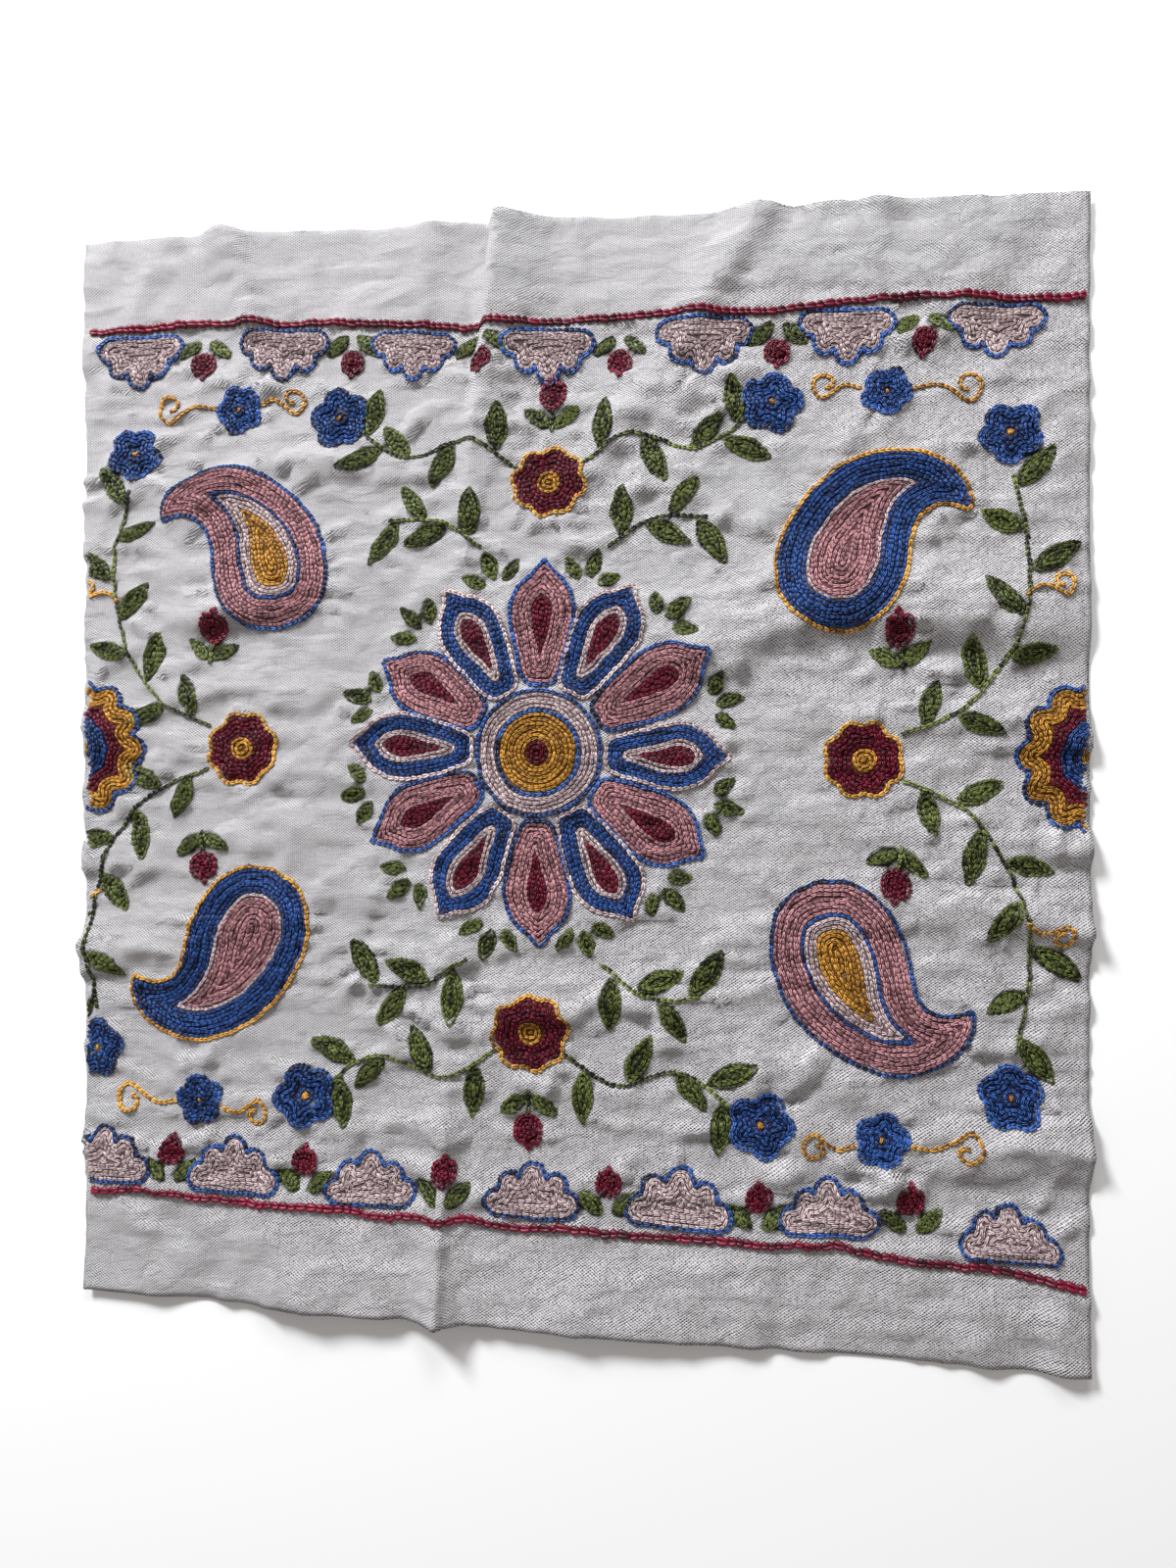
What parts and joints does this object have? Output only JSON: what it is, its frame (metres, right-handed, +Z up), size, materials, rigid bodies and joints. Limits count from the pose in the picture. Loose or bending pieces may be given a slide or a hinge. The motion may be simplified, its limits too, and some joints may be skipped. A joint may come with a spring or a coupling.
{
  "type": "embroidered cotton runner, cut length",
  "caption": "Cut length of off-white cotton table runner with chain-stitch embroidery between two stitched border lines, lying in soft folds.",
  "frame": {"origin": "middle of the bounding box, on the surface that the cloth lies on", "axes": "+X along the runner, +Y across it towards the head selvedge, +Z up off the surface"},
  "size_m": [0.4264, 0.45, 0.0113],
  "materials": {
    "cotton": "off-white hand-woven plain weave, matt, slightly crumpled",
    "thread": "silky chain-stitch thread in dusty pink, blue, green, gold, crimson and pale pink"
  },
  "bodies": {
    "root": {"cloth": "cotton"}
  },
  "joints": []
}
